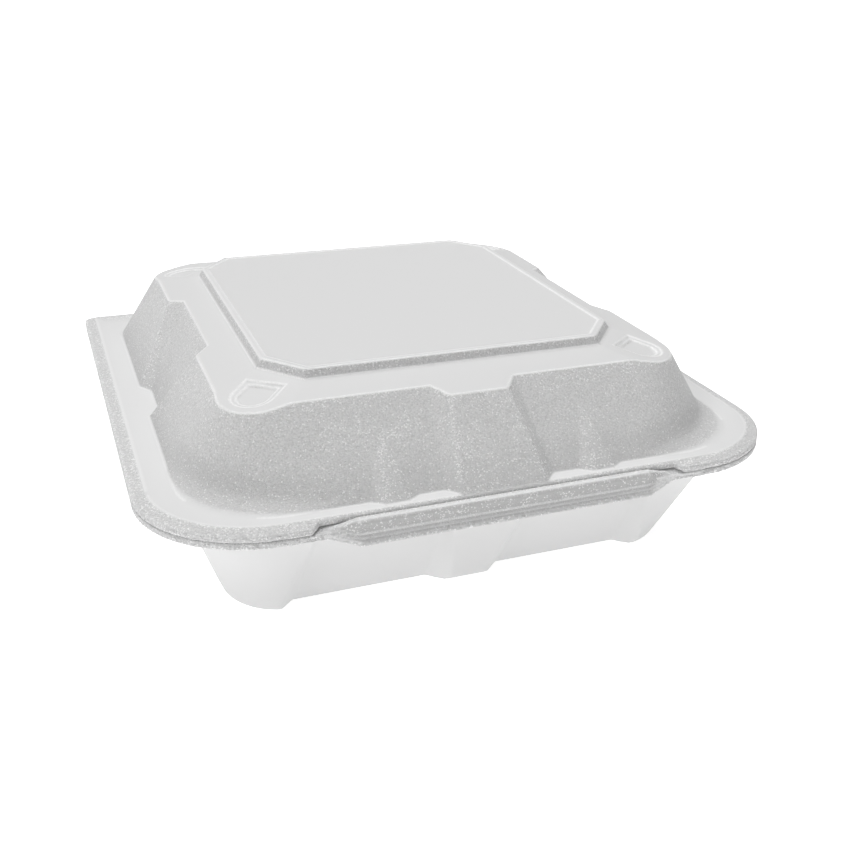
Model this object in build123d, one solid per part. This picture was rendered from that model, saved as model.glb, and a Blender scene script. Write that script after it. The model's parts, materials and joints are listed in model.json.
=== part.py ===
"""Foam hinged-lid carry-out container, closed.

One sheet of expanded polystyrene foam, thermoformed into a deep base tray and a shallower domed lid that
share a crushed living hinge along the back. Millimetres, +Z up, +X across the front, +Y towards the hinge.
The origin is the centre of the overall box's underside.
"""

import os
from math import hypot

from build123d import *

# ---- the whole container -------------------------------------------------------------------------------
width = 207.0  # across the two side rims
depth = 213.9  # from the front lip to the hinge
height = 76.2  # from the table to the top of the lid's panel
parting = 45.3  # height of the plane between the two flanges
sheet = 2.0  # thickness of the formed foam
flange_gap = 0.3  # between the lid's flange and the tray's

# ---- flanges, alike on the tray and the lid ------------------------------------------------------------
ledge_side = 12.3  # from the rim to the foot of the side walls
ledge_front = 7.5  # from the front rim to the foot of the front wall
ledge_back = 5.5  # from the hinge to the foot of the back wall
front_radius = 37.0  # plan radius of the two front corners
back_radius = 3.0  # plan radius of the two back corners, at the ends of the hinge
band_side = 4.4  # width of the sloping outer band along the sides
band_front = 4.0  # and along the front
band_drop = 1.1  # how far the band falls from its fold to its cut edge
crush_length = 2.4  # the flanges thin down to the hinge over this length
crushed_sheet = 0.7  # thickness left at the hinge

# ---- lid dome, on its outer face -----------------------------------------------------------------------
dome_front_radius = 47.0  # plan radius of the front corners at the foot
dome_back_radius = 27.0  # and of the back corners
shoulder_front_radius = 12.0  # of the front corners at the shoulder
shoulder_back_radius = 17.0
apron_radius = 29.0  # plan radius of the low apron that spreads from each front corner over the flange
apron_rise = 1.5  # the apron's height where it meets the corner
shoulder_drop = 5.0  # from the panel's top to the level at which the shoulder's sizes are taken
draft_side = 16.3  # the walls lean in by this much from their foot to the shoulder
draft_front = 24.8
draft_back = 7.5
shoulder_fall = 0.20  # the shoulder falls outward by this much per millimetre

# ---- lid panel: an octagon with sloping sides ----------------------------------------------------------
margin_side = 15.3  # from the shoulder's edge to the panel's top
margin_front = 12.3
margin_back = 18.4
panel_rise = 2.9  # above the shoulder that surrounds it
panel_slope = 1.5  # plan width of the sloping side
panel_cut_x = 10.8  # corner chamfer, across
panel_cut_y = 14.0  # corner chamfer, front to back
panel_cut_spread = 0.4  # both grow by this much per millimetre that the octagon grows
step_inset = 2.0  # a fine step inside the panel's edge
step_depth = 0.35

# ---- lid: a bay in each of the left, right and back walls ----------------------------------------------
bay_depth_foot = 3.4
bay_depth_top = 4.1
bay_half_foot = 8.8  # half width of the bay's floor
bay_half_top = 26.0
bay_flare = 1.5  # each angled side spreads by this much per millimetre of the bay's depth

# ---- lid: pilaster and two gussets on the front wall ---------------------------------------------------
pilaster_half_foot = 13.6
pilaster_half_top = 9.2
pilaster_proud_foot = 4.2
pilaster_proud_top = 5.0
pilaster_flare = 0.9  # each angled side spreads by this much per millimetre of the pilaster's stand
gusset_place = 33.0  # from the middle of the front wall
gusset_half_foot = 4.3
gusset_half_top = 0.8
gusset_proud = 3.4
gusset_rise = 13.4  # from the flange to the gusset's tip
gusset_flare = 1.4
rib_root = 12.0  # pilaster and gussets start this far inside the wall
rib_thinning = 0.6  # inside the sheet they are narrower by this much per millimetre of it, on each side
rib_least = 0.2  # but never under this half width

# ---- lid: a debossed shield in each corner of the shoulder ---------------------------------------------
shield_length = 14.5
shield_width = 13.5
shield_depth = 0.9
shield_border = 1.7  # a border this wide round each shield
shield_border_depth = 0.4  # is only this deep
shield_place_x = 0.6  # its straight edge's middle lies this far out from the panel's side
shield_place_y = 3.2  # and this far in from the panel's front or back
shield_turn = 49.0  # direction of its rounded end, from the X axis

# ---- base tray, on its outer face ----------------------------------------------------------------------
tray_radius = 27.0  # plan radius of the corners under the flange
floor_radius = 19.0  # and at the underside
taper_side = 14.2  # the walls lean in by this much from the flange to the underside
taper_front = 25.2
taper_back = 13.4
heel_fillet = 6.5  # round between the walls and the underside
centre_foot_low = 12.7  # half width of the foot in the middle of each wall, at the underside
centre_foot_high = 15.0  # and at the top of the recesses beside it
corner_foot_low = 19.2  # from a corner's wall to the recess beside it, at the underside
corner_foot_high = 24.0
recess_depth_low = 6.6
recess_depth_high = 2.0
recess_flare = 1.0  # each angled side spreads by this much per millimetre of depth
recess_clear = 6.2  # between the recesses' tops and the flange

# ---- front latch: the tray's raised bar, and the lip below it ------------------------------------------
lip_reach = 2.45  # the lip stands this far in front of the rim
bar_half = 46.0  # half length of the bar at its full height
bar_run_out = 10.0  # each end blends into the rim over this length
run_out_sink = 0.3  # and ends this far inside the band's faces
bar_ahead = 0.98  # its front face stands this far in front of the rim
bar_width = 3.4
bar_rise = 1.9  # above the tray's flange
bar_round = 0.9  # bevel along the bar's two upper edges
bar_root = 1.4  # its sheet starts this far behind its rear face, inside the flange
face_lean = 0.6  # the front face leans back by this much
bend_rise = 1.36  # the bend between that face and the lip starts this far above the lip
bend_reach = 0.8  # and runs this far forward
bend_seat = 0.34  # to this height above the lip
heel_back = 0.6  # under the bend, the lip's lower face ends this far behind the front face
heel_rise = 0.51  # and this far above the lip's underside
run_back = 2.0  # the bar's underside meets the flange this far behind the front face
run_drop = 1.8  # and this far below the flange's underside
lip_drop = 5.8  # from the tray's flange to the bottom of the lip
lip_thickness = 1.7
latch_clearance = 0.3  # between the bar and the lid's flange
latch_end_clearance = 1.0  # between the ends of the bar's run-out and the lid's flange
notch_round = 2.0  # the notch in the lid's flange widens by this much at the rim

# ---- worked out from the sizes above -------------------------------------------------------------------
hinge_line = depth / 2
front_rim = depth / 2 - lip_reach
lid_under = parting + flange_gap / 2
lid_top = lid_under + sheet
tray_top = parting - flange_gap / 2
wall_side = width / 2 - ledge_side
wall_front = front_rim - ledge_front
wall_back = hinge_line - ledge_back
shoulder_height = height - shoulder_drop
shoulder_side = wall_side - draft_side
panel_side = shoulder_side - margin_side
panel_front = wall_front - draft_front - margin_front
panel_back = wall_back - draft_back - margin_back
bar_nose = front_rim + bar_ahead
bar_back = bar_nose - bar_width
reach = 0.3 * width  # construction solids run past the model by this much
least_radius = 2.5  # no tapering corner gets sharper than this


def plan(half, front, back, radius_front, radius_back):
    """A rectangle from -half to half and from -front to back, with rounded corners."""
    face = Pos(0, (back - front) / 2) * Rectangle(2 * half, back + front)
    face = fillet(face.vertices().sort_by(Axis.Y)[:2], radius_front)
    return fillet(face.vertices().sort_by(Axis.Y)[-2:], radius_back)


def between(low, low_height, high, high_height):
    """The straight-sided solid between two plans at two heights."""
    return loft([Pos(0, 0, low_height) * low, Pos(0, 0, high_height) * high], ruled=True)


def outline(*points):
    """A face with straight sides through the points."""
    return make_face(Polyline(*points, close=True))


def above(level):
    """Everything above a height."""
    return Pos(0, 0, level) * Box(2 * width, 2 * depth, height, align=(Align.CENTER, Align.CENTER, Align.MIN))


class Taper:
    """A tapering box with rounded corners, given at two heights, that can be offset inward by an inset."""

    def __init__(self, low_height, low, high_height, high):
        self.low_height, self.low = low_height, low
        self.high_height, self.high = high_height, high

    def at(self, level, low, high):
        """The value at a level of something that changes evenly with height."""
        return low + (high - low) * (level - self.low_height) / (self.high_height - self.low_height)

    def wall(self, name, level, inset=0.0):
        """How far a wall is from the origin at a level, with the inset measured square to the wall."""
        lean = (self.high[name] - self.low[name]) / (self.high_height - self.low_height)
        return self.at(level, self.low[name], self.high[name]) - inset * hypot(1, lean)

    def corner(self, name, level, inset):
        """The plan radius of the front or back corners at a level."""
        return max(self.at(level, self.low[name], self.high[name]) - inset, least_radius)

    def plan(self, level, inset, front_corner=None):
        """The outline at a level; the front corners may be given a radius of their own."""
        side, front, back = (self.wall(name, level, inset) for name in ("side", "front", "back"))
        front_corner = front_corner or self.corner("front_corner", level, inset)
        return plan(side, front, back, front_corner, self.corner("back_corner", level, inset))

    def solid(self, bottom, top, inset):
        return between(self.plan(bottom, inset), bottom, self.plan(top, inset), top)


dome = Taper(
    lid_top,
    dict(
        side=wall_side,
        front=wall_front,
        back=wall_back,
        front_corner=dome_front_radius,
        back_corner=dome_back_radius,
    ),
    shoulder_height,
    dict(
        side=shoulder_side,
        front=wall_front - draft_front,
        back=wall_back - draft_back,
        front_corner=shoulder_front_radius,
        back_corner=shoulder_back_radius,
    ),
)
tray = Taper(
    0.0,
    dict(
        side=wall_side - taper_side,
        front=wall_front - taper_front,
        back=wall_back - taper_back,
        front_corner=floor_radius,
        back_corner=floor_radius,
    ),
    tray_top,
    dict(
        side=wall_side,
        front=wall_front,
        back=wall_back,
        front_corner=tray_radius,
        back_corner=tray_radius,
    ),
)


# ---- flanges -------------------------------------------------------------------------------------------
def flange(top):
    """A plate whose ledge's upper face is at top, with a band that slopes down all round but the back."""
    rim = plan(width / 2, front_rim, hinge_line, front_radius, back_radius)
    fold = plan(
        width / 2 - band_side, front_rim - band_front, hinge_line, front_radius - band_side, back_radius
    )
    under = top - sheet
    plate = Pos(0, 0, under - band_drop) * extrude(rim, sheet)
    plate += between(rim, top - band_drop, fold, top)
    return plate - between(rim, under - band_drop, fold, under)


def crush(face, outward):
    """The wedge that crushing takes off a flange at the hinge; face is its outer side, outward is +1 or -1."""
    start = hinge_line - crush_length
    thinned = face - outward * (sheet - crushed_sheet)
    clear = face + outward * sheet
    beyond = hinge_line + sheet
    wedge = outline((start, face), (hinge_line, thinned), (beyond, thinned), (beyond, clear), (start, clear))
    return Pos(-width / 2, 0, 0) * extrude(Plane.YZ * wedge, width)


# ---- lid -----------------------------------------------------------------------------------------------
def octagon(grow):
    """The panel's plan, grown outward by grow."""
    side, front, back = panel_side + grow, -panel_front - grow, panel_back + grow
    cut_x, cut_y = panel_cut_x + panel_cut_spread * grow, panel_cut_y + panel_cut_spread * grow
    right = [(side - cut_x, front), (side, front + cut_y), (side, back - cut_y), (side - cut_x, back)]
    left = [(-x, y) for x, y in reversed(right)]
    return outline(*right, *left)


def roof(inset):
    """Everything under the shoulder, which falls away from the panel on all sides."""
    seat = height - panel_rise - inset
    eaves = seat - reach * shoulder_fall
    inner = octagon(panel_slope - inset)
    return between(octagon(reach), eaves, inner, seat) + extrude(octagon(reach), eaves)


def panel(inset):
    """The raised panel with its sloping sides; the outer face has a fine step inside its edge."""
    top = height - inset
    raised = between(octagon(panel_slope - inset), top - panel_rise, octagon(-inset), top)
    if inset == 0:
        raised -= Pos(0, 0, top - step_depth) * extrude(octagon(-step_inset), sheet)
    return raised


def bay(inset, wall, turn, shift_foot=0.0, shift_top=0.0):
    """The wedge that leaves a bay in one wall; turn is the wall's direction from +X."""
    sections = []
    for level in (lid_under - band_drop, height):
        inner = dome.wall(wall, level) - dome.at(level, bay_depth_foot, bay_depth_top) - inset
        outer = inner + 4 * bay_depth_top
        floor = dome.at(level, bay_half_foot, bay_half_top) + inset
        mouth = floor + bay_flare * (outer - inner)
        middle = dome.at(level, shift_foot, shift_top)
        points = ((inner, -floor), (outer, -mouth), (outer, mouth), (inner, floor))
        sections.append(Pos(0, 0, level) * Rot(0, 0, turn) * Pos(0, middle) * outline(*points))
    return loft(sections, ruled=True)


def rib(place, half_foot, half_top, proud_foot, proud_top, flare, bottom, top, inset):
    """A tapering rib on the front wall, with angled sides. Its half widths and stand are given at both ends."""
    sections = []
    for level, half, proud in ((bottom, half_foot, proud_foot), (top, half_top, proud_top)):
        face = dome.wall("front", level, inset) + proud
        rear = face - proud - rib_root
        narrow = max(half - rib_thinning * inset, rib_least)
        root = narrow + flare * (face - rear)
        points = (
            (place - root, -rear),
            (place - narrow, -face),
            (place + narrow, -face),
            (place + root, -rear),
        )
        sections.append(Pos(0, 0, level) * outline(*points))
    return loft(sections, ruled=True)


def pilaster(inset):
    """The broad rib in the middle of the front wall, which runs up past the shoulder."""
    bottom, top = lid_under - band_drop, height
    half = [dome.at(level, pilaster_half_foot, pilaster_half_top) for level in (bottom, top)]
    proud = [dome.at(level, pilaster_proud_foot, pilaster_proud_top) for level in (bottom, top)]
    return rib(0, *half, *proud, pilaster_flare, bottom, top, inset)


def gusset(place, inset):
    """A prow-shaped stiffening wedge, wide on the flange and narrow at its tip."""
    bottom, top = lid_under - band_drop, lid_top + gusset_rise
    return rib(place, gusset_half_foot, gusset_half_top, gusset_proud, 0.0, gusset_flare, bottom, top, inset)


def apron(inset):
    """The low apron: the dome's foot with sharper front corners, tapering up into the dome's own corners."""
    bottom = lid_top - inset
    top = bottom + apron_rise
    return between(dome.plan(bottom, inset, apron_radius), bottom, dome.plan(top, inset), top)


def shields(grow):
    """Upright prisms over the four shields, which are straight towards the panel and round at the corner."""
    end = shield_width / 2
    straight = shield_length - end
    face = Pos(straight / 2, 0) * Rectangle(straight, shield_width) + Pos(straight, 0) * Circle(end)
    face = offset(face, grow) if grow else face
    middle = (panel_back - panel_front) / 2
    half = (panel_back + panel_front) / 2 - shield_place_y
    prism = extrude(Pos(panel_side + shield_place_x, half) * Rot(0, 0, shield_turn) * face, 2 * height)
    prism += mirror(prism, about=Plane.YZ)
    prism += mirror(prism, about=Plane.XZ)
    return Pos(0, middle, 0) * prism


def lid_form(inset):
    """The lid's dome as a solid plug: its outer face, or its inner face when it is inset by the sheet."""
    foot = lid_under - band_drop
    body = (dome.solid(foot, height, inset) + apron(inset) + pilaster(inset)) & roof(inset)
    foot_middle = (wall_back - wall_front) / 2
    top_middle = foot_middle + (draft_front - draft_back) / 2
    for turn in (0, 180):
        sign = 1 if turn == 0 else -1
        body -= bay(inset, "side", turn, sign * foot_middle, sign * top_middle)
    body -= bay(inset, "back", 90)
    body -= shields(inset) - roof(inset + shield_border_depth)
    body -= shields(inset - shield_border) - roof(inset + shield_depth)
    body += panel(inset)
    for side in (-1, 1):
        body += gusset(side * gusset_place, inset)
    return body


def latch_notch():
    """What the lid's flange leaves free for the tray's bar."""
    half = bar_half + bar_run_out + latch_end_clearance
    rear, narrow, wide = bar_back - latch_clearance, front_rim - notch_round, front_rim + notch_round
    right = [(half, -rear), (half, -narrow), (half + 2 * notch_round, -wide)]
    left = [(-x, y) for x, y in reversed(right)]
    return Pos(0, 0, lid_under - band_drop) * extrude(outline(*right, *left), sheet + band_drop)


def lid():
    body = flange(lid_top) - crush(lid_top, 1) + (lid_form(0) & above(lid_under))
    return body - lid_form(sheet) - latch_notch()


# ---- base tray -----------------------------------------------------------------------------------------
def recess(inset, wall, turn, side, half_low, shift=0.0):
    """One recessed stretch of a tray wall, between its centre foot and the corner foot on one side.

    turn is the wall's direction from +X, side is +1 or -1, half_low is half the wall's length at the
    underside and shift is how far its middle lies from the origin.
    """
    top = tray_top - recess_clear
    sections = []
    for level in (-sheet, top):
        share = level / top
        inner = tray.wall(wall, level) - recess_depth_low - share * (recess_depth_high - recess_depth_low) - inset
        outer = inner + 3 * recess_depth_low
        near = centre_foot_low + share * (centre_foot_high - centre_foot_low) - inset
        far = half_low - corner_foot_low - share * (corner_foot_high - corner_foot_low) + inset
        flare = recess_flare * (outer - inner)
        points = (
            (inner, side * near),
            (outer, side * (near - flare)),
            (outer, side * (far + flare)),
            (inner, side * far),
        )
        sections.append(Pos(0, 0, level) * Rot(0, 0, turn) * Pos(0, shift) * outline(*points))
    return loft(sections, ruled=True)


def tray_form(inset):
    """The tray as a solid plug: its outer face, or its inner face when it is inset by the sheet."""
    body = tray.solid(inset, tray_top + sheet, inset)
    underside = body.faces().sort_by(Axis.Z)[0]
    body = fillet(underside.edges(), heel_fillet - inset)
    half_across = tray.wall("side", 0)
    half_along = (tray.wall("front", 0) + tray.wall("back", 0)) / 2
    middle = tray.wall("back", 0) - half_along
    for side in (-1, 1):
        body -= recess(inset, "front", -90, side, half_across)
        body -= recess(inset, "back", 90, side, half_across)
        body -= recess(inset, "side", 0, side, half_along, middle)
        body -= recess(inset, "side", 180, side, half_along, -middle)
    return body


def latch_bar():
    """The raised bar and the lip below it, running out into the rim at both ends."""
    ridge = tray_top + bar_rise
    seat = tray_top - sheet
    bend = bar_nose - face_lean
    lip_foot = tray_top - lip_drop
    lip_top = lip_foot + lip_thickness
    full = [
        (bar_back - bar_root, seat),
        (bar_back, tray_top - flange_gap),
        (bar_back, ridge - bar_round),
        (bar_back + bar_round, ridge),
        (bar_nose - bar_round, ridge),
        (bar_nose, ridge - bar_round),
        (bend, lip_top + bend_rise),
        (bend + bend_reach, lip_top + bend_seat),
        (depth / 2, lip_top),
        (depth / 2, lip_foot),
        (bend - heel_back, lip_foot + heel_rise),
        (bend - run_back, seat - run_drop),
    ]

    def in_band(ahead, inside):
        """A point under the band's upper face, as far inside the sheet as inside says."""
        return ahead, tray_top - band_drop * (ahead - front_rim + band_front) / band_front - inside

    start = bar_back - bar_root / 2
    upper = [start + (front_rim - start) * i / (len(full) - 5) for i in range(len(full) - 4)]
    lower = [front_rim, (front_rim + start) / 2, start]
    spent = [(bar_back - bar_root, seat)]
    spent += [in_band(ahead, run_out_sink) for ahead in upper]
    spent += [in_band(ahead, sheet - run_out_sink) for ahead in lower]
    sections = []
    for place, points in ((0, full), (bar_half, full), (bar_half + bar_run_out, spent)):
        sections.append(Pos(place, 0, 0) * (Plane.YZ * outline(*[(-ahead, level) for ahead, level in points])))
    half = loft(sections, ruled=True)
    return half + mirror(half, about=Plane.YZ)


def base_tray():
    body = flange(tray_top) - crush(tray_top - sheet, -1)
    body += tray_form(0) - above(tray_top)
    return body + latch_bar() - tray_form(sheet)


os.makedirs("parts", exist_ok=True)
for name, piece in (("base_tray", base_tray()), ("lid", lid())):
    export_step(piece, f"parts/{name}.step")
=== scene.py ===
"""A white foam hinged-lid carry-out container, closed, on a pale floor.

The tray and the lid are one sheet of expanded polystyrene foam, formed hot, with a crushed hinge at the back.
"""

import json
from math import cos, radians, sin

import bmesh
import bpy
import numpy as np
from mathutils import Matrix, Vector
from mathutils.kdtree import KDTree


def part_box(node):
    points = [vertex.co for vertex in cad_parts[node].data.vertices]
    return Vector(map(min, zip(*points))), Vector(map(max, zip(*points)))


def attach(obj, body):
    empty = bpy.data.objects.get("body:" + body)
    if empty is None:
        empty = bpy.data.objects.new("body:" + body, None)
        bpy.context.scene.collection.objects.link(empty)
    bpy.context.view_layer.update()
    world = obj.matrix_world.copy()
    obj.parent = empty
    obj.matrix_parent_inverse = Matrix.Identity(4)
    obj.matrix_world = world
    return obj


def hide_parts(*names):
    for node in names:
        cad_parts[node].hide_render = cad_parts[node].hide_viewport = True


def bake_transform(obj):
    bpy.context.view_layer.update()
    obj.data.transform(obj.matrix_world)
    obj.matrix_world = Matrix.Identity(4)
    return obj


MM = 0.001

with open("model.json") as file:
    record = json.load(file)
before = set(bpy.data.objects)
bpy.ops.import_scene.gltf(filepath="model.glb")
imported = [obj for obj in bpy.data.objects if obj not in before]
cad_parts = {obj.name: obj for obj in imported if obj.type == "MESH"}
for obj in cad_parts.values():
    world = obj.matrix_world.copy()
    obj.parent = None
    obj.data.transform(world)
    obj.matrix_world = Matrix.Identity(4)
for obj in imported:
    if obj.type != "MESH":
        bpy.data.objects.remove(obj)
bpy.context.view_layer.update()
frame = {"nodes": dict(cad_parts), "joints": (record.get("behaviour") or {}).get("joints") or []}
tray_low, tray_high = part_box("base_tray")
lid_low, lid_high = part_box("lid")


# ---- materials -----------------------------------------------------------------------------------------
cell_width, cell_height = 0.38, 0.20  # mm, a cell; real ones are 0.1 to 0.4, drawn coarse so that they show
bead_width, bead_height = 1.1, 0.4  # mm, a torn bead along the sheet's cut edge
wave_width, wave_height = 9, 0.5  # mm, shallow undulations of the whole sheet
wave_strength = 0.2  # they show only this much
cloud_width = 0.6  # mm, patches of thinner skin
thin_start, thin_gain = 0.42, 4.0  # a patch begins where the noise passes this, and deepens this fast
spark_edge, spark_white = 14.0, 0.7  # how sharply a cell starts to take a painted glint, and how white the glint is
crease_highlight_gain = 1.7  # a crease's painted highlight is this much stronger than the noise that breaks it up
matt, glossy = 0.62, 0.40  # roughness of the flat skin and of a crease


def linear(code):
    """A hex sRGB colour as linear red, green, blue and alpha."""
    parts = [int(code[i : i + 2], 16) / 255 for i in (1, 3, 5)]
    return [c / 12.92 if c <= 0.04045 else ((c + 0.055) / 1.055) ** 2.4 for c in parts] + [1.0]


def add_node(owner, kind, settings=(), **links):
    """A shader node with its settings. Each link names a socket (inN is the N-th) and its value or source."""
    node = owner.node_tree.nodes.new(kind)
    for name, value in dict(settings).items():
        setattr(node, name, value)
    for name, value in links.items():
        numbered = name[:2] == "in" and name[2:].isdigit()
        socket = node.inputs[int(name[2:]) if numbered else name.replace("_", " ")]
        if isinstance(value, bpy.types.NodeSocket):
            owner.node_tree.links.new(value, socket)
        else:
            socket.default_value = value
    return node


def new_material(name):
    """A material whose node tree is still empty."""
    material = bpy.data.materials.new(name)
    material.use_nodes = True
    material.node_tree.nodes.clear()
    return material


def formed_foam():
    """Expanded polystyrene foam sheet, formed hot in a mould: matt white with a closed skin.

    The skin is smooth where the sheet lay flat. Where it was stretched its cells show as a fine grain, with
    a cell here and there whitened by a painted glint. Creases are glossier and whitened by a painted
    highlight, the bar's steep face and the corner flares are darkened by painted shade, and the sheet's
    cut edge shows torn beads.
    """
    material = new_material("expanded_polystyrene_foam")
    place = add_node(material, "ShaderNodeTexCoord").outputs["Object"]
    stretched = add_node(material, "ShaderNodeAttribute", {"attribute_name": "stretched"}).outputs["Fac"]
    # the crease mask sets a painted highlight along creases, besides their gloss and grain
    creased = add_node(material, "ShaderNodeAttribute", {"attribute_name": "creased"}).outputs["Fac"]
    sparkling = add_node(material, "ShaderNodeAttribute", {"attribute_name": "sparkling"}).outputs["Fac"]
    # painted shade on the bar's steep face and in the corner flares
    painted_shade = add_node(material, "ShaderNodeAttribute", {"attribute_name": "painted_shade"}).outputs["Fac"]
    cut = add_node(material, "ShaderNodeAttribute", {"attribute_name": "cut"}).outputs["Fac"]
    cells = add_node(material, "ShaderNodeTexVoronoi", Vector=place, Scale=1 / (cell_width * MM))
    beads = add_node(material, "ShaderNodeTexVoronoi", Vector=place, Scale=1 / (bead_width * MM))
    waves = add_node(material, "ShaderNodeTexNoise", Vector=place, Scale=1 / (wave_width * MM), Detail=3.0)
    clouds = add_node(material, "ShaderNodeTexNoise", Vector=place, Scale=1 / (cloud_width * MM), Detail=4.0)
    multiply, subtract = {"operation": "MULTIPLY"}, {"operation": "SUBTRACT"}
    greater = {"operation": "MAXIMUM"}
    scale_clamped = {"operation": "MULTIPLY", "use_clamp": True}

    # painted glints: a few cells are whitened as if they caught the light, more where the skin was stretched;
    # a painted highlight whitens a crease nearly all along
    lucky = add_node(material, "ShaderNodeSeparateColor", Color=cells.outputs["Color"]).outputs["Red"]
    chance = add_node(material, "ShaderNodeMath", {"operation": "ADD"}, in0=lucky, in1=sparkling)
    past_one = add_node(material, "ShaderNodeMath", subtract, in0=chance.outputs[0], in1=1.0)
    spark = add_node(material, "ShaderNodeMath", scale_clamped, in0=past_one.outputs[0], in1=spark_edge)
    spark = add_node(material, "ShaderNodeMath", multiply, in0=spark.outputs[0], in1=spark_white).outputs[0]
    crease_highlight = add_node(material, "ShaderNodeMath", multiply, in0=creased, in1=clouds.outputs["Fac"])
    crease_highlight = add_node(material, "ShaderNodeMath", scale_clamped, in0=crease_highlight.outputs[0], in1=crease_highlight_gain)
    painted_highlight = add_node(material, "ShaderNodeMath", greater, in0=spark, in1=crease_highlight.outputs[0]).outputs[0]

    # thin places let more light through and look a little darker
    thin = add_node(material, "ShaderNodeMath", subtract, in0=clouds.outputs["Fac"], in1=thin_start)
    thin = add_node(material, "ShaderNodeMath", scale_clamped, in0=thin.outputs[0], in1=thin_gain).outputs[0]
    dimmer = add_node(material, "ShaderNodeMath", multiply, in0=thin, in1=stretched).outputs[0]
    torn = add_node(material, "ShaderNodeMath", multiply, in0=cut, in1=beads.outputs["Distance"]).outputs[0]
    dimmer = add_node(material, "ShaderNodeMath", greater, in0=dimmer, in1=torn).outputs[0]
    # the colour: random thin patches and torn beads darker, painted shade darker still, painted glints and
    # crease highlights white
    skin = linear("#dadada")
    for share, colour in ((dimmer, "#c5c5c5"), (painted_shade, "#bebebe"), (painted_highlight, "#ffffff")):
        colours = {"in0": share, "in6": skin, "in7": linear(colour)}
        skin = add_node(material, "ShaderNodeMix", {"data_type": "RGBA"}, **colours).outputs[2]

    wavy = add_node(
        material,
        "ShaderNodeBump",
        Height=waves.outputs["Fac"],
        Strength=wave_strength,
        Distance=wave_height * MM,
    ).outputs["Normal"]
    grainy = add_node(
        material,
        "ShaderNodeBump",
        Height=cells.outputs["Distance"],
        Strength=add_node(material, "ShaderNodeMath", greater, in0=stretched, in1=creased).outputs[0],
        Distance=cell_height * MM,
        Normal=wavy,
    ).outputs["Normal"]
    beaded = add_node(
        material,
        "ShaderNodeBump",
        {"invert": True},
        Height=beads.outputs["Distance"],
        Strength=cut,
        Distance=bead_height * MM,
        Normal=grainy,
    ).outputs["Normal"]
    shine = add_node(material, "ShaderNodeMapRange", Value=creased, To_Min=matt, To_Max=glossy)
    shader = add_node(
        material,
        "ShaderNodeBsdfPrincipled",
        Base_Color=skin,
        Roughness=shine.outputs["Result"],
        IOR=1.5,
        Normal=beaded,
    )
    add_node(material, "ShaderNodeOutputMaterial", Surface=shader.outputs["BSDF"])
    return material


foam = formed_foam()


# ---- the formed sheet ----------------------------------------------------------------------------------
front_rim = lid_low.y
front_radius, back_radius = 37.0, 3.0  # mm, plan radii of the flange's corners
band_width = 4.2  # mm, the sloping band outside the flange's fold
under_flange_top, under_flange_foot = lid_low.z - 3 * MM, lid_low.z - 5 * MM

# the raised latch bar and its lip
latch_back = -101.6 * MM  # they lie in front of this
latch_half = 57 * MM  # and no further than this to either side
bar_front = front_rim + 0.5 * MM  # the bar's own creases are in front of this
bend_level = 42.6 * MM  # the bar's steep face starts at this bend over the lip
ridge = tray_high.z  # and ends here, at the bar's top edge
bend_reach, ridge_band = 1.5 * MM, 0.5 * MM  # a crease this near the bend, or the top, belongs to it
torn_lip = tray_low.y + 0.4 * MM  # the lip's cut edge is in front of this

# the lid's front corners flare into a low apron
flare_side, flare_front = 55 * MM, -55 * MM
flare_low, flare_high = lid_low.z + 3.2 * MM, lid_low.z + 12 * MM
apron_low, apron_high = 47.7 * MM, 49.5 * MM  # no crease is drawn between these heights
panel_foot = 70 * MM  # the panel's and the shields' creases are above this

# creases
crease_angle = radians(14)  # an edge of the formed sheet counts as a crease from this angle
crease_spacing = 0.3  # mm
level_face = 0.9  # a face whose normal points up or down more than this is level
white_edge, white_foot, white_fold = 0.9, 0.45, 0.3  # how strong the painted highlight is along creases: shoulder and panel, foot of a wall, flange's fold

# what the foam reads from the mesh; it fades in, or out, between each pair of limits
crease_fade = (0.15, 0.65)  # mm from a crease, where its painted highlight ends
side_slope, top_slope = (0.2, 0.45), (0.86, 0.95)  # the normal's upward share; stretched skin is between
band_fade = (band_width - 0.6, band_width + 0.2)  # mm inside the rim, where the stretched band ends
spark_fade = (0.4, 1.8)  # mm from a convex crease, where its extra painted glints end
spark_skin, spark_crease, spark_front = 0.08, 0.15, 0.14  # chance of a painted glint in a cell
shade_foot, shade_face, shade_flare = 0.35, 0.65, 0.3  # painted shade on the bar's face below the bend, more above it, and in the corner flare
bend_fade = (bend_level - 0.4 * MM, bend_level)
ridge_fade = (-1.0 * MM, -0.4 * MM)  # below the bar's top, where the painted shade on its face ends
cut_fade, cut_slope = (0.3, 0.9), (0.5, 0.8)  # mm inside the rim, and the normal's share up or down
cut_bar = 0.15  # the bar's face is faintly torn

# the mesh
voxel = 0.55  # mm
triangle_limit = 195_000
quad_share = 0.49  # decimation counts faces of four sides, which make two triangles each
smoothing = 0.5  # how far one round of smoothing moves a vertex towards its neighbours
fine_reach = 1.0  # mm, the mesh stays fine and crisp this far from a crease at a level face
wall_clear = 2.8  # mm, the rounding keeps this far from the parting plane
soft_rounds = 4  # the creases between steep faces are rounded this much
flare_rounds = 160  # and the flare much more


def select_only(piece):
    for other in bpy.context.selected_objects:
        other.select_set(False)
    piece.select_set(True)
    bpy.context.view_layer.objects.active = piece


def apply_modifier(piece, kind, **settings):
    select_only(piece)
    modifier = piece.modifiers.new(kind.lower(), kind)
    for name, value in settings.items():
        setattr(modifier, name, value)
    bpy.ops.object.modifier_apply(modifier=modifier.name)


def step(low, high, values):
    """0 below low, 1 above high, and smooth between them."""
    share = np.clip((values - low) / (high - low), 0, 1)
    return share * share * (3 - 2 * share)


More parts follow.
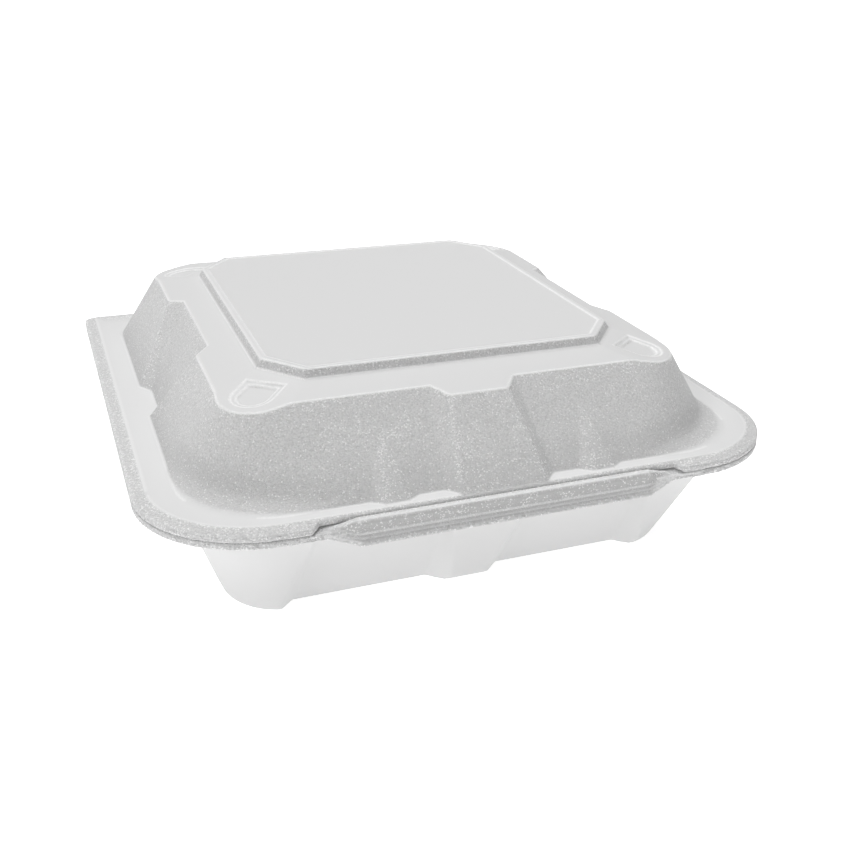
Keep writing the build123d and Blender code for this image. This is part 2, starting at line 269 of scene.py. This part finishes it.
def rim_inset(places):
    """How far inside the rim's outline each place lies, in plan."""
    half = (lid_high.x - lid_low.x) / 2
    middle = (lid_high.y + front_rim) / 2
    x, y = np.abs(places[:, 0]), places[:, 1] - middle
    radius = np.where(y < 0, front_radius, back_radius) * MM
    beyond_x = x - half + radius
    beyond_y = np.abs(y) - (lid_high.y - front_rim) / 2 + radius
    outside = np.hypot(np.maximum(beyond_x, 0), np.maximum(beyond_y, 0))
    return radius - outside - np.minimum(np.maximum(beyond_x, beyond_y), 0)


def creases(piece):
    """The sheet's creases: a tree of places along them, how strong a painted highlight each place gets, and
    whether it gets extra painted glints.
    """
    form = bmesh.new()
    form.from_mesh(piece.data)
    places, white, sparkle = [], [], []
    for edge in form.edges:
        if len(edge.link_faces) != 2 or edge.calc_face_angle() < crease_angle:
            continue
        start, end = (corner.co for corner in edge.verts)
        level = (start.z + end.z) / 2
        if apron_low < level < apron_high:
            continue
        beside_level = max(abs(face.normal.z) for face in edge.link_faces) > level_face
        whiteness = 0.0
        if beside_level:
            whiteness = white_edge if edge.is_convex or level > panel_foot else white_foot
        if edge.is_convex and level < apron_low:
            whiteness = min(whiteness, white_fold)
        on_bar = start.y < bar_front and abs(start.x) < latch_half
        if on_bar and (abs(level - bend_level) < bend_reach or level > ridge - ridge_band):
            whiteness = white_edge
        count = int((end - start).length / (crease_spacing * MM)) + 1
        for i in range(count + 1):
            places.append(start.lerp(end, i / count))
            white.append(whiteness)
            sparkle.append(float(edge.is_convex))
    form.free()
    tree = KDTree(len(places))
    for i, place in enumerate(places):
        tree.insert(place, i)
    tree.balance()
    return tree, np.array(white), np.array(sparkle)


def from_crease(piece, tree):
    """For each of the piece's vertices, how far it is from a crease, in millimetres, and from which place."""
    found = [tree.find(corner.co) for corner in piece.data.vertices]
    return np.array([gap for place, i, gap in found]) / MM, np.array([i for place, i, gap in found])


def mark(piece, tree, white, sparkle):
    """Writes on the mesh where the skin is stretched or cut, where creases carry a painted highlight, where
    painted shade darkens it, and where cells take painted glints.

    Heights and places are in metres, as in the mesh; gap and inset are in millimetres.
    """
    mesh = piece.data
    places = np.empty(len(mesh.vertices) * 3)
    mesh.vertices.foreach_get("co", places)
    places = places.reshape(-1, 3)
    normals = np.empty(len(mesh.vertices) * 3)
    mesh.vertex_normals.foreach_get("vector", normals)
    upward = normals.reshape(-1, 3)[:, 2]
    level = places[:, 2]
    inset = rim_inset(places) / MM
    latch = (places[:, 1] < latch_back) & (np.abs(places[:, 0]) < latch_half)
    front = latch & (places[:, 1] < front_rim + 0.2 * MM)
    under_flange = step(under_flange_top, under_flange_foot, level) * ~latch
    flare = step(apron_low, apron_low + 0.3 * MM, level) * (1 - step(flare_high - 3 * MM, flare_high, level))
    gap, nearest = from_crease(piece, tree)

    # the crease mask: it whitens the colour as a painted highlight, and makes the skin glossier and grainier
    creased = (1 - step(*crease_fade, gap)) * white[nearest] * (1 - under_flange)
    stretched = step(*side_slope, upward) * (1 - step(*top_slope, upward))
    stretched = np.maximum(stretched, 1 - step(*band_fade, inset))
    stretched = np.where(latch, 1, stretched)
    stretched = np.maximum(stretched, flare)
    # chance of a painted glint in each cell
    near_edge = sparkle[nearest] * (1 - step(*spark_fade, gap))
    sparkling = spark_skin * stretched + spark_crease * stretched * near_edge
    sparkling = np.where(front, spark_front, sparkling)
    # painted shade: the bar's steep face is darkened, most above the bend, and the corner flares a little
    painted_shade = shade_foot + shade_face * step(*bend_fade, level)
    painted_shade *= front * (1 - step(*ridge_fade, level - ridge))
    painted_shade = np.maximum(painted_shade, shade_flare * flare)
    cut = (1 - step(*cut_fade, inset)) * (1 - step(*cut_slope, np.abs(upward)))
    cut = np.where(latch, cut_bar, cut)
    cut = np.where(latch & (places[:, 1] < torn_lip), 1, cut)
    masks = dict(stretched=stretched, creased=creased, sparkling=sparkling, painted_shade=painted_shade, cut=cut)
    for name, values in masks.items():
        mesh.attributes.new(name, "FLOAT", "POINT").data.foreach_set("value", values.astype(np.float32))


def vertex_group(piece, name, members):
    group = piece.vertex_groups.new(name=name)
    group.add([int(i) for i in np.flatnonzero(members)], 1.0, "REPLACE")


def formed_sheet(name, node, body):
    """A CAD node's sheet, with the soft edges that foam takes in a mould."""
    piece = frame["nodes"][node].copy()
    piece.data = piece.data.copy()
    piece.name = name
    piece.parent = None
    piece.matrix_world = Matrix.Identity(4)
    bpy.context.scene.collection.objects.link(piece)
    select_only(piece)
    bpy.ops.object.mode_set(mode="EDIT")
    bpy.ops.mesh.select_all(action="SELECT")
    bpy.ops.mesh.remove_doubles(threshold=0.001 * MM)
    bpy.ops.object.mode_set(mode="OBJECT")
    tree, white, sparkle = creases(piece)
    apply_modifier(piece, "REMESH", mode="VOXEL", voxel_size=voxel * MM, use_smooth_shade=True)
    apply_modifier(piece, "SMOOTH", factor=smoothing, iterations=1)
    gap, nearest = from_crease(piece, tree)
    plain = (gap > fine_reach) | (white[nearest] == 0)
    level = np.array([corner.co.z for corner in piece.data.vertices])
    vertex_group(piece, "soft", plain & (np.abs(level - lid_low.z) > wall_clear * MM))
    vertex_group(piece, "coarse", plain)
    apply_modifier(piece, "SMOOTH", factor=smoothing, iterations=soft_rounds, vertex_group="soft")
    places = np.array([corner.co for corner in piece.data.vertices])
    at_corner = (np.abs(places[:, 0]) > flare_side) & (places[:, 1] < flare_front)
    vertex_group(piece, "flare", at_corner & (places[:, 2] > flare_low) & (places[:, 2] < flare_high))
    apply_modifier(piece, "SMOOTH", factor=smoothing, iterations=flare_rounds, vertex_group="flare")
    ratio = quad_share * triangle_limit / len(piece.data.polygons)
    apply_modifier(piece, "DECIMATE", ratio=ratio, vertex_group="coarse", vertex_group_factor=1.0)
    piece.vertex_groups.clear()
    mark(piece, tree, white, sparkle)
    piece.data.materials.clear()
    piece.data.materials.append(foam)
    bpy.ops.object.shade_smooth()
    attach(piece, body)
    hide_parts(node)


formed_sheet("lid_foam", "lid", "lid")
formed_sheet("tray_foam", "base_tray", "tray")


# ---- the hinge -----------------------------------------------------------------------------------------
fold_radius = 0.85  # mm, half of what the two crushed flanges and the gap between them measure
fold_half = 100.5  # mm, half length of the hinge between the rounded back corners
fold_leg = 1.2  # mm, how far it reaches along each flange
fold_sheet = 0.35  # mm
fold_facets = 24  # round the whole cylinder that the fold is half of


def hinge_fold():
    """The crushed fold that joins the two flanges: a thin U that wraps round the backs of both."""
    joint = Vector(frame["joints"][0]["pos_m"])
    fold_middle = Vector((0, joint.y - fold_radius * MM / 2, joint.z))
    bpy.ops.object.select_all(action="DESELECT")
    bpy.ops.mesh.primitive_cylinder_add(
        vertices=fold_facets,
        radius=fold_radius * MM,
        depth=2 * fold_half * MM,
        end_fill_type="NOTHING",
        location=fold_middle,
        rotation=(0, radians(90), 0),
    )
    fold = bpy.context.object
    fold.name = "hinge_fold"
    bpy.ops.object.transform_apply(location=True, rotation=True, scale=True)
    bpy.ops.object.mode_set(mode="EDIT")
    bpy.ops.mesh.select_all(action="SELECT")
    bpy.ops.mesh.bisect(plane_co=fold_middle, plane_no=(0, 1, 0), clear_inner=True)
    bpy.ops.mesh.select_all(action="DESELECT")
    bpy.ops.object.mode_set(mode="OBJECT")
    for edge in fold.data.edges:
        ends = [fold.data.vertices[i].co for i in edge.vertices]
        edge.select = all(abs(end.y - fold_middle.y) < 0.01 * MM for end in ends)
    bpy.ops.object.mode_set(mode="EDIT")
    bpy.ops.mesh.select_mode(type="EDGE")
    bpy.ops.mesh.extrude_region_move(TRANSFORM_OT_translate={"value": (0, -fold_leg * MM, 0)})
    bpy.ops.object.mode_set(mode="OBJECT")
    apply_modifier(fold, "SOLIDIFY", thickness=fold_sheet * MM, offset=0.0)
    fold.data.materials.append(foam)
    bpy.ops.object.shade_smooth_by_angle(angle=radians(40))
    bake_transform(fold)


hinge_fold()

# ---- floor, light and camera ---------------------------------------------------------------------------
bpy.ops.mesh.primitive_plane_add(size=16, location=(0, 0, 0))
floor = bpy.context.object
floor.name = "floor"
floor_paint = new_material("lit_white_acrylic")
shader = add_node(
    floor_paint,
    "ShaderNodeBsdfPrincipled",
    Base_Color=linear("#f0f0f0"),
    Roughness=1.0,
    Specular_IOR_Level=0.0,
    Emission_Color=linear("#ffffff"),
    Emission_Strength=0.58,
)
add_node(floor_paint, "ShaderNodeOutputMaterial", Surface=shader.outputs["BSDF"])
floor.data.materials.append(floor_paint)

world = bpy.data.worlds.new("studio")
world.use_nodes = True
# the studio's walls look white, and light the foam only a little
seen = add_node(world, "ShaderNodeLightPath").outputs["Is Camera Ray"]
glow = add_node(world, "ShaderNodeMapRange", Value=seen, To_Min=0.15, To_Max=1.1).outputs["Result"]
backdrop = world.node_tree.nodes["Background"]
backdrop.inputs["Color"].default_value = linear("#ffffff")
world.node_tree.links.new(glow, backdrop.inputs["Strength"])
bpy.context.scene.world = world

for name, energy, angle, towards in (
    ("overhead", 2.50, 55, (0.10, 0.36, 0.93)),
    ("side", 0.82, 20, (-0.75, -0.45, 0.48)),
):
    sun = bpy.data.lights.new(name, "SUN")
    sun.energy = energy
    sun.angle = radians(angle)
    lamp = bpy.data.objects.new(name, sun)
    lamp.rotation_euler = Vector(towards).to_track_quat("Z", "Y").to_euler()
    bpy.context.scene.collection.objects.link(lamp)

camera_data = bpy.data.cameras.new("camera")
camera_data.sensor_width = 36
camera_data.lens = 46.96
camera_data.shift_x = -0.0564
camera_data.shift_y = 0.0200
camera_data.clip_start = 0.01
camera = bpy.data.objects.new("camera", camera_data)
bpy.context.scene.collection.objects.link(camera)
azimuth, elevation, roll = radians(-22.22), radians(24.18), radians(1.144)
back = Vector((sin(azimuth) * cos(elevation), -cos(azimuth) * cos(elevation), sin(elevation)))
sideways = (-back).cross(Vector((0, 0, 1))).normalized()
upright = sideways.cross(-back)
across = sideways * cos(roll) + upright * sin(roll)
up = upright * cos(roll) - sideways * sin(roll)
camera.matrix_world = Matrix((across, up, back)).transposed().to_4x4()
camera.location = Vector((-119.81, -367.61, 193.17)) * MM
bpy.context.scene.camera = camera

bpy.context.scene.view_settings.view_transform = "Standard"
